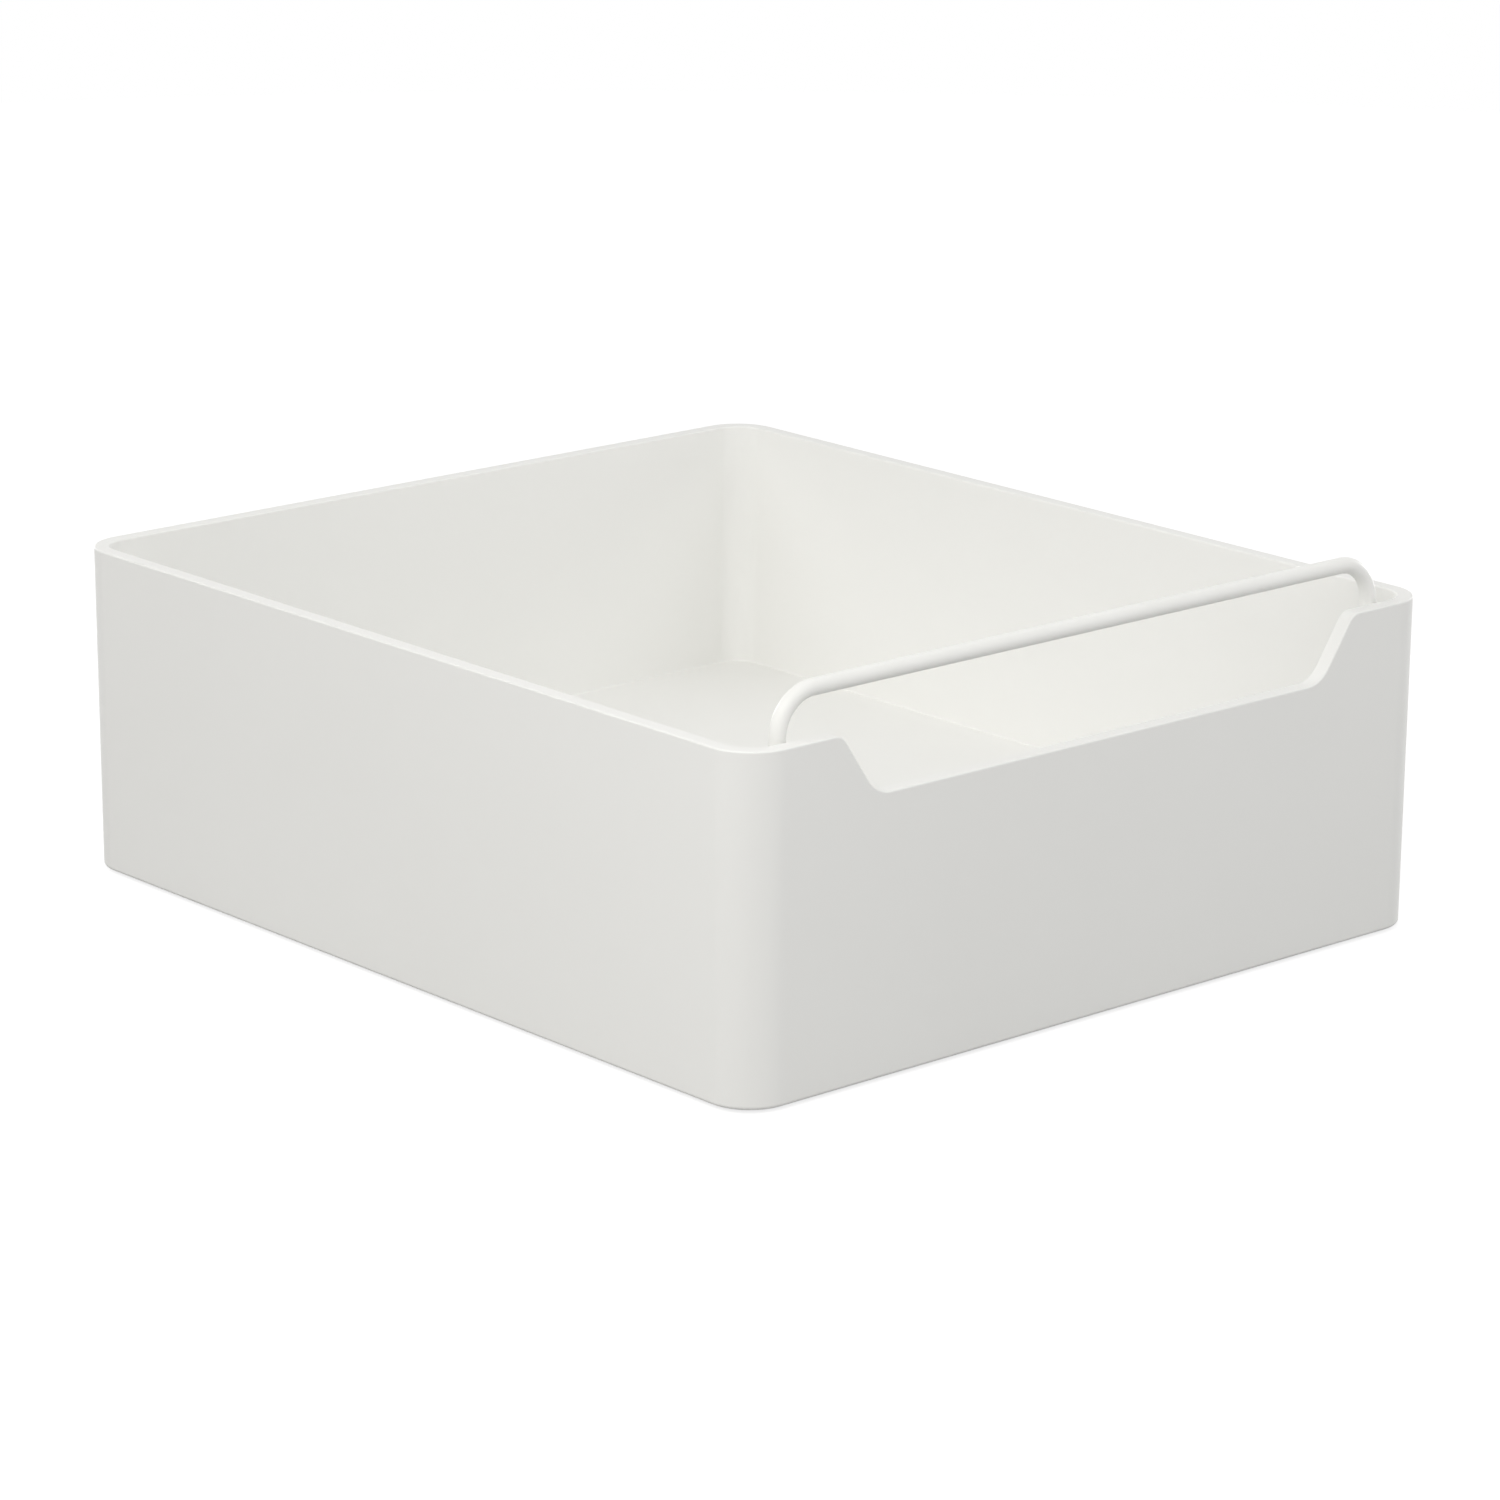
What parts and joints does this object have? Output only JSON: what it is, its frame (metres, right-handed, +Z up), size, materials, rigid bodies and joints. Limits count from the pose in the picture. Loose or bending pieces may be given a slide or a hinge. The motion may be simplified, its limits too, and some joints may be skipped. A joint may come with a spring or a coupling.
{
  "type": "pull-out cabinet bin",
  "caption": "Open-topped moulded plastic bin with a notched front wall, a sliding wire handle, a raised floor, soft front feet and rear rollers hidden under it.",
  "frame": {"origin": "middle of the footprint, on the plane of the shelf that the feet and tyres stand on", "axes": "+Z up, front wall with the notch and handle towards -Y, +X to the right seen from the front"},
  "size_m": [0.267, 0.305, 0.1154],
  "materials": {
    "shell_plastic": "satin off-white moulded polypropylene",
    "handle_coat": "satin white powder coat on steel wire",
    "bush_plastic": "natural acetal",
    "cap_plastic": "natural acetal",
    "foot_rubber": "matte pale grey elastomer",
    "bracket_plastic": "satin off-white moulded plastic",
    "roller_plastic": "natural acetal",
    "tyre_rubber": "matte grey elastomer",
    "axle_steel": "ground steel pin",
    "screw_steel": "zinc-plated steel"
  },
  "bodies": {
    "bin": {"bin_shell": "shell_plastic", "guide_bush_left": "bush_plastic", "guide_bush_right": "bush_plastic", "front_foot_left": "foot_rubber", "front_foot_right": "foot_rubber", "roller_bracket_left": "bracket_plastic", "roller_bracket_right": "bracket_plastic", "roller_axle_left": "axle_steel", "roller_axle_right": "axle_steel", "bracket_screws": "screw_steel"},
    "handle": {"wire_handle": "handle_coat", "leg_cap_left": "cap_plastic", "leg_cap_right": "cap_plastic"},
    "left_wheel": {"roller_left": "roller_plastic", "roller_tyre_left": "tyre_rubber"},
    "right_wheel": {"roller_right": "roller_plastic", "roller_tyre_right": "tyre_rubber"}
  },
  "joints": [
    {"name": "handle_slide", "type": "slide", "parent": "bin", "child": "handle", "axis": [0, 0, 1], "range_m": [-0.0144, 0]},
    {"name": "left_wheel_spin", "type": "hinge", "parent": "bin", "child": "left_wheel", "pos_m": [-0.1, 0.12648, 0.0075], "axis": [1, 0, 0], "continuous": true},
    {"name": "right_wheel_spin", "type": "hinge", "parent": "bin", "child": "right_wheel", "pos_m": [0.1, 0.12648, 0.0075], "axis": [1, 0, 0], "continuous": true}
  ]
}
